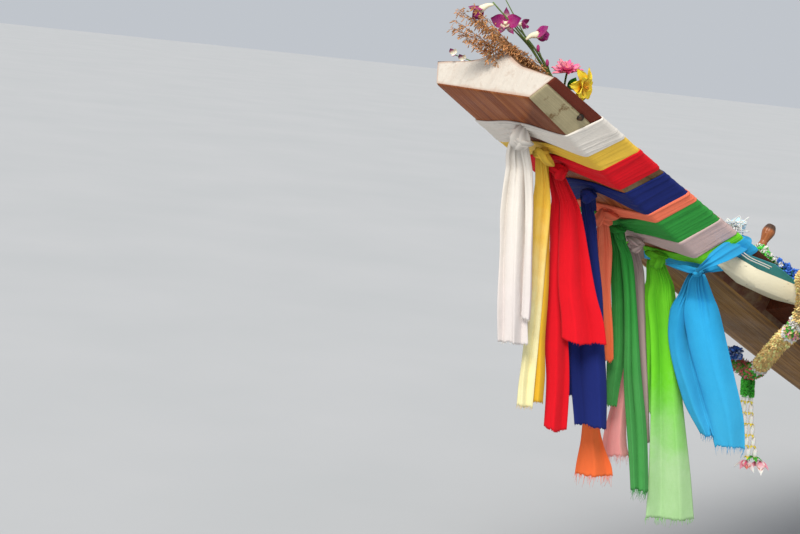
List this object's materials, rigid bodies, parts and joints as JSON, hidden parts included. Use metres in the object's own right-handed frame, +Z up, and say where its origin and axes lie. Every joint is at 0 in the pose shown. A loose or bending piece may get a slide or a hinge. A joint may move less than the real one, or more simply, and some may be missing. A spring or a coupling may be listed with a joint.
{
  "type": "longtail boat",
  "caption": "Wooden longtail boat with a raked stem dressed in tied scarves, open planked hull, and a tilting engine on a swivel that drives a propeller at the end of a long tube",
  "frame": {"origin": "amidships on the centreline, at the waterline", "axes": "+X towards the bow, +Y to port, +Z up"},
  "size_m": [12.8718, 1.9092, 2.0725],
  "materials": {
    "varnished_wood": "worn varnish over reddish brown timber",
    "dark_planking": "dark red-brown stained planks",
    "cream_paint": "old cream gloss paint on timber",
    "blue_paint": "blue gloss paint on timber",
    "turquoise_paint": "turquoise gloss paint on timber",
    "white_paint": "white gloss paint on timber",
    "sole_timber": "bare weathered boards",
    "turned_teak": "oiled orange-brown turned wood",
    "black_iron": "black paint worn to steel",
    "greasy_iron": "dark greasy casting",
    "cast_aluminium": "dull casting with oil stains",
    "bare_steel": "worn steel",
    "rusty_pipe": "heat-browned rust",
    "propeller_bronze": "scoured bronze",
    "fresh_flowers": "orchids and chrysanthemums",
    "gold_garland": "threaded marigold petals",
    "white_garland": "threaded crown flowers",
    "cloth_white": "plain woven cotton scarf",
    "cloth_yellow": "plain woven cotton scarf",
    "cloth_red": "plain woven cotton scarf",
    "cloth_navy": "plain woven cotton scarf",
    "cloth_coral": "plain woven cotton scarf",
    "cloth_green": "plain woven cotton scarf",
    "cloth_mauve": "plain woven cotton scarf",
    "cloth_lime": "plain woven cotton scarf",
    "cloth_blue": "plain woven cotton scarf"
  },
  "bodies": {
    "hull": {"stem_post": "varnished_wood", "engine_post": "varnished_wood", "keel_plank": "dark_planking", "transom": "dark_planking", "strake_port_1": "dark_planking", "strake_port_2": "dark_planking", "strake_port_3": "dark_planking", "strake_port_4": "dark_planking", "strake_starboard_1": "dark_planking", "strake_starboard_2": "dark_planking", "strake_starboard_3": "dark_planking", "strake_starboard_4": "dark_planking", "gunwale_port": "cream_paint", "gunwale_starboard": "cream_paint", "rub_rail_port": "blue_paint", "rub_rail_starboard": "blue_paint", "frames_port_aft": "turquoise_paint", "frames_port_fore": "turquoise_paint", "frames_starboard_aft": "turquoise_paint", "frames_starboard_fore": "turquoise_paint", "foredeck": "turquoise_paint", "fore_bulkhead": "turquoise_paint", "aft_deck": "turquoise_paint", "aft_bulkhead": "turquoise_paint", "thwart_1": "turquoise_paint", "thwart_2": "turquoise_paint", "thwart_3": "turquoise_paint", "sole_boards": "sole_timber", "bow_post_port": "white_paint", "bow_post_starboard": "white_paint", "stern_post_port": "white_paint", "stern_post_starboard": "white_paint", "bow_peg": "turned_teak", "scarf_white": "cloth_white", "scarf_yellow": "cloth_yellow", "scarf_red": "cloth_red", "scarf_navy": "cloth_navy", "scarf_coral": "cloth_coral", "scarf_green": "cloth_green", "scarf_mauve": "cloth_mauve", "scarf_lime": "cloth_lime", "scarf_blue": "cloth_blue", "bouquet": "fresh_flowers", "neck_garland": "gold_garland", "garland_tassel": "white_garland", "deck_garland": "white_garland"},
    "swivel": {"swivel_yoke": "black_iron"},
    "engine": {"cradle": "greasy_iron", "engine_block": "greasy_iron", "cylinder_head": "cast_aluminium", "bell_housing": "black_iron", "crank_pulley": "bare_steel", "air_cleaner": "black_iron", "exhaust_manifold": "rusty_pipe", "exhaust_pipe": "rusty_pipe", "tiller": "bare_steel", "shaft_tube": "black_iron", "cooling_pipe": "bare_steel"},
    "propeller": {"propeller": "propeller_bronze"}
  },
  "joints": [
    {"name": "engine_swivel", "type": "hinge", "parent": "hull", "child": "swivel", "pos_m": [-4.52, 0, 1.1], "axis": [0, 0, 1], "range_deg": [-60, 60]},
    {"name": "engine_tilt", "type": "hinge", "parent": "swivel", "child": "engine", "pos_m": [-4.52, 0, 1.1], "axis": [0, 1, 0], "range_deg": [-28, 5]},
    {"name": "propeller_spin", "type": "hinge", "parent": "engine", "child": "propeller", "pos_m": [-7.82, 0, 1.25], "axis": [1, 0, 0], "continuous": true}
  ]
}
